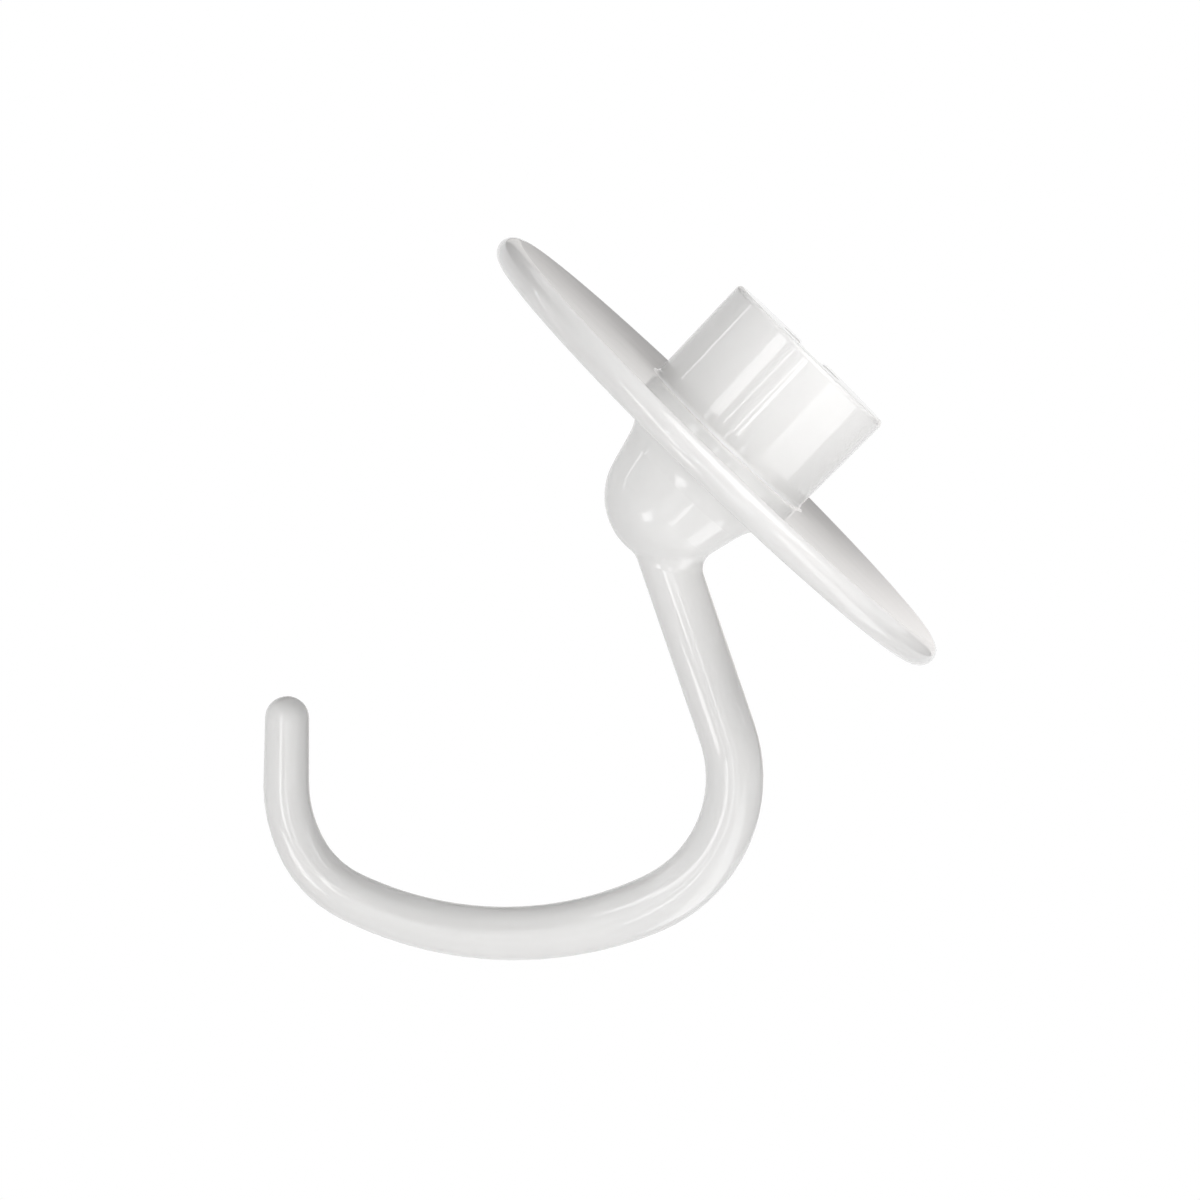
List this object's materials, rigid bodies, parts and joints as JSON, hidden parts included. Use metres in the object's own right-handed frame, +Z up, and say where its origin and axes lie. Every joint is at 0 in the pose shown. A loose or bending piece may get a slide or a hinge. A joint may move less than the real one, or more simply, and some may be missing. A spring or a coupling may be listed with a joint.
{
  "type": "stand mixer dough hook",
  "caption": "One-piece C-shaped dough hook with a flat guard disc and a bayonet socket hub, cast in aluminium and coated smooth white.",
  "frame": {"origin": "on the drive axis, in the plane of the guard disc's upper face, inside the drive socket's bore", "axes": "+Z up the drive axis and out of the socket's mouth; +X towards the elbow of the C; the arm's centre line lies in the XZ plane; the pin track opens on the +Y side"},
  "size_m": [0.1184, 0.116, 0.1458],
  "materials": {
    "white_coating": "smooth glossy white coating over cast aluminium"
  },
  "bodies": {
    "root": {"dough_hook": "white_coating"}
  },
  "joints": []
}
